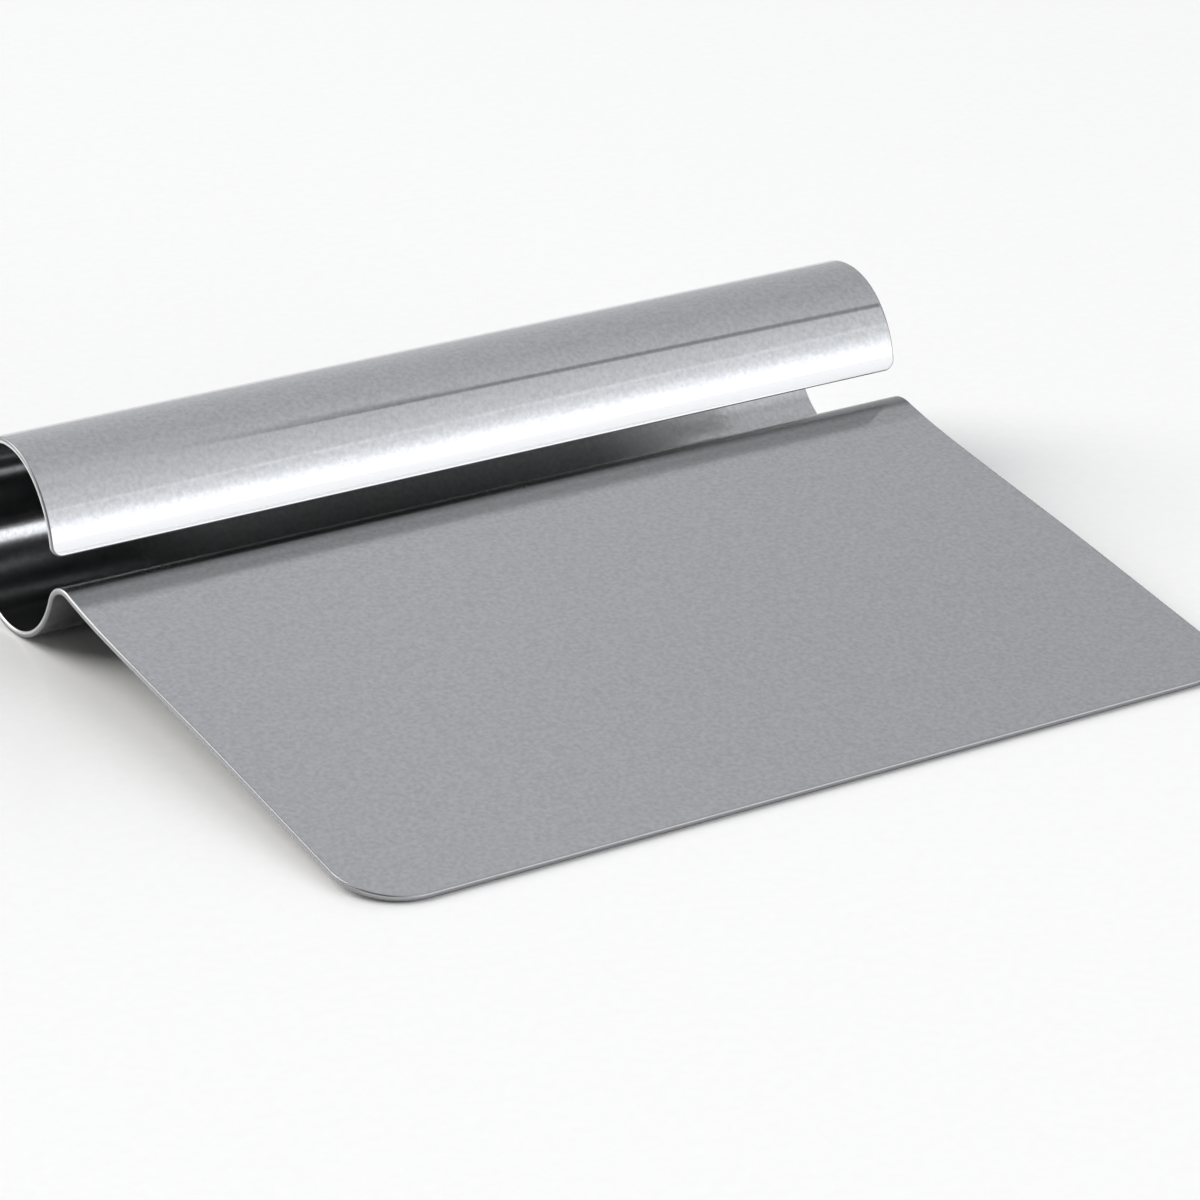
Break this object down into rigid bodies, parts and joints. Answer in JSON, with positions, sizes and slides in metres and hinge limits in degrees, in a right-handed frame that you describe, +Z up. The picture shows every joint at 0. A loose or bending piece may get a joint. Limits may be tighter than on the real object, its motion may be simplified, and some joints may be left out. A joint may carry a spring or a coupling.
{
  "type": "dough scraper",
  "caption": "Sheet steel dough scraper for cutting and lifting dough: a flat rectangular blade with rounded front corners, its rear edge rolled into an open tubular handle.",
  "frame": {"origin": "on the worktop that the scraper lies on, under the middle of its bounding box", "axes": "+X along the handle, +Y from the blade to the handle, +Z up from the worktop; the blade slopes down to the front edge at -Y"},
  "size_m": [0.12, 0.0936, 0.0245],
  "materials": {
    "stainless_sheet": "bright polished stainless steel sheet with a faint rolling grain along the handle and lightly tumbled cut edges"
  },
  "bodies": {
    "root": {"scraper_sheet": "stainless_sheet"}
  },
  "joints": []
}
